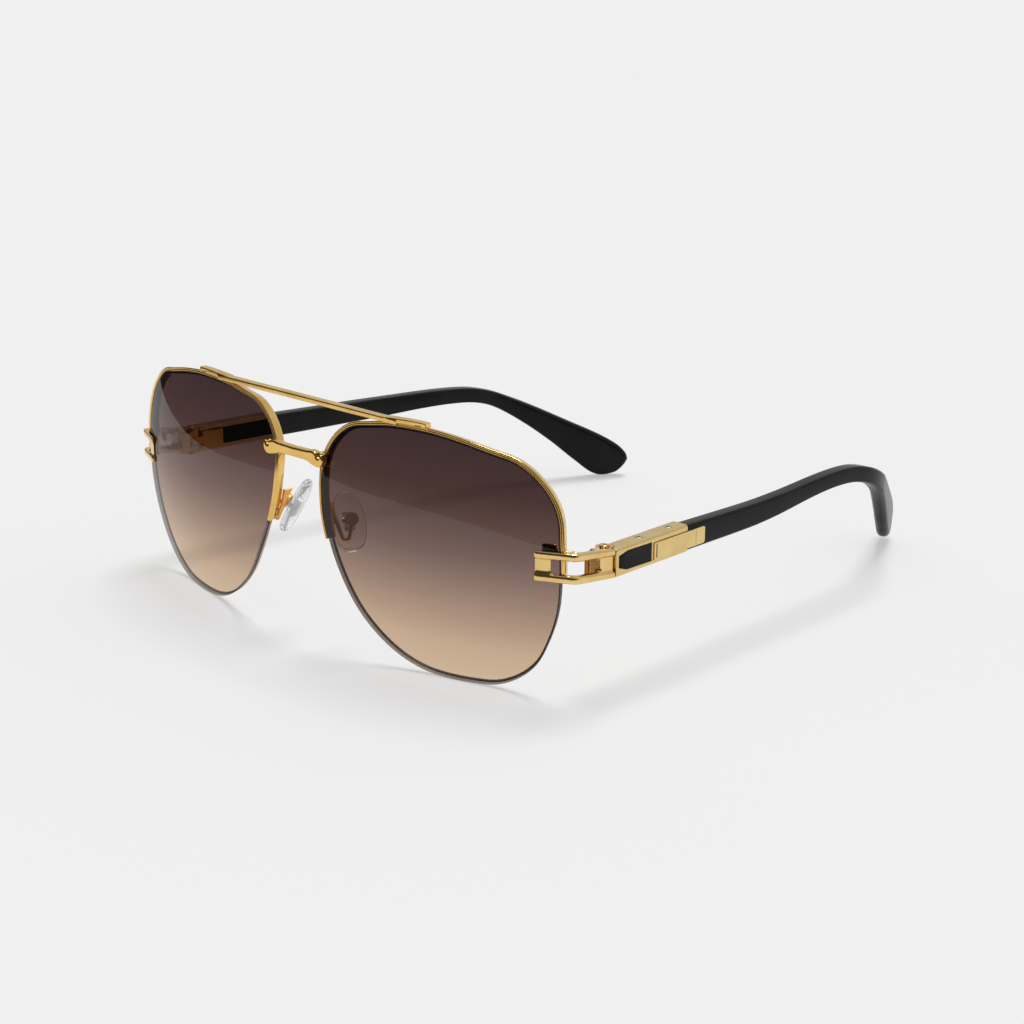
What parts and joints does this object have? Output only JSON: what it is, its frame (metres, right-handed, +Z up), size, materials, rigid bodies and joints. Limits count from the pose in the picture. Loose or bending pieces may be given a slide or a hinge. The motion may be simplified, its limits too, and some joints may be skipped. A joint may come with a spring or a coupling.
{
  "type": "aviator sunglasses",
  "caption": "Double-bridge aviator sunglasses with gradient lenses held by a half metal rim and a nylon line, folding temples and rocking nose pads.",
  "frame": {"origin": "bottom centre of the bounding box: on the surface it stands on, in the front's mirror plane, half way from the front to the ear tips", "axes": "+X to the wearer's left, +Y from the front back to the ear tips, +Z up"},
  "size_m": [0.1411, 0.1566, 0.0561],
  "materials": {
    "lens": "brown gradient tint, polished",
    "gold_metal": "polished gold plate",
    "gold_screw": "polished gold plate",
    "nylon_line": "translucent grey monofilament",
    "steel": "drawn wire",
    "clear_silicone": "clear, satin",
    "black_inlay": "gloss enamel",
    "black_acetate": "polished acetate"
  },
  "bodies": {
    "front": {"lens_left": "lens", "lens_right": "lens", "rim_left": "gold_metal", "rim_right": "gold_metal", "nylon_line_left": "nylon_line", "nylon_line_right": "nylon_line", "end_piece_left": "gold_metal", "end_piece_right": "gold_metal", "hinge_front_left": "gold_metal", "hinge_front_right": "gold_metal", "hinge_screw_left": "gold_screw", "hinge_screw_right": "gold_screw", "pad_arm_left": "gold_metal", "pad_arm_right": "gold_metal", "pad_box_left": "gold_metal", "pad_box_right": "gold_metal", "pad_screw_left": "gold_screw", "pad_screw_right": "gold_screw", "brow_bar": "gold_metal", "bridge": "gold_metal"},
    "left_temple": {"hinge_temple_left": "gold_metal", "temple_housing_left": "gold_metal", "housing_inlay_left": "black_inlay", "housing_panel_left": "gold_metal", "housing_screws_left": "gold_screw", "temple_left": "black_acetate", "temple_core_left": "steel"},
    "right_temple": {"hinge_temple_right": "gold_metal", "temple_housing_right": "gold_metal", "housing_inlay_right": "black_inlay", "housing_panel_right": "gold_metal", "housing_screws_right": "gold_screw", "temple_right": "black_acetate", "temple_core_right": "steel"},
    "left_pad": {"pad_insert_left": "steel", "nose_pad_left": "clear_silicone"},
    "right_pad": {"pad_insert_right": "steel", "nose_pad_right": "clear_silicone"}
  },
  "joints": [
    {"name": "left_fold", "type": "hinge", "parent": "front", "child": "left_temple", "pos_m": [0.0669, -0.05226, 0.02844], "axis": [0, 0, 1], "range_deg": [-0.6, 87]},
    {"name": "right_fold", "type": "hinge", "parent": "front", "child": "right_temple", "pos_m": [-0.0669, -0.05226, 0.02844], "axis": [0, 0, -1], "range_deg": [-10.4, 64]},
    {"name": "left_pad_rock", "type": "hinge", "parent": "front", "child": "left_pad", "pos_m": [0.01052, -0.07089, 0.02917], "axis": [-0.4675, -0.884, -0.0043], "range_deg": [-5, 5]},
    {"name": "right_pad_rock", "type": "hinge", "parent": "front", "child": "right_pad", "pos_m": [-0.01052, -0.07089, 0.02917], "axis": [0.4675, -0.884, -0.0043], "range_deg": [-5, 5]}
  ]
}
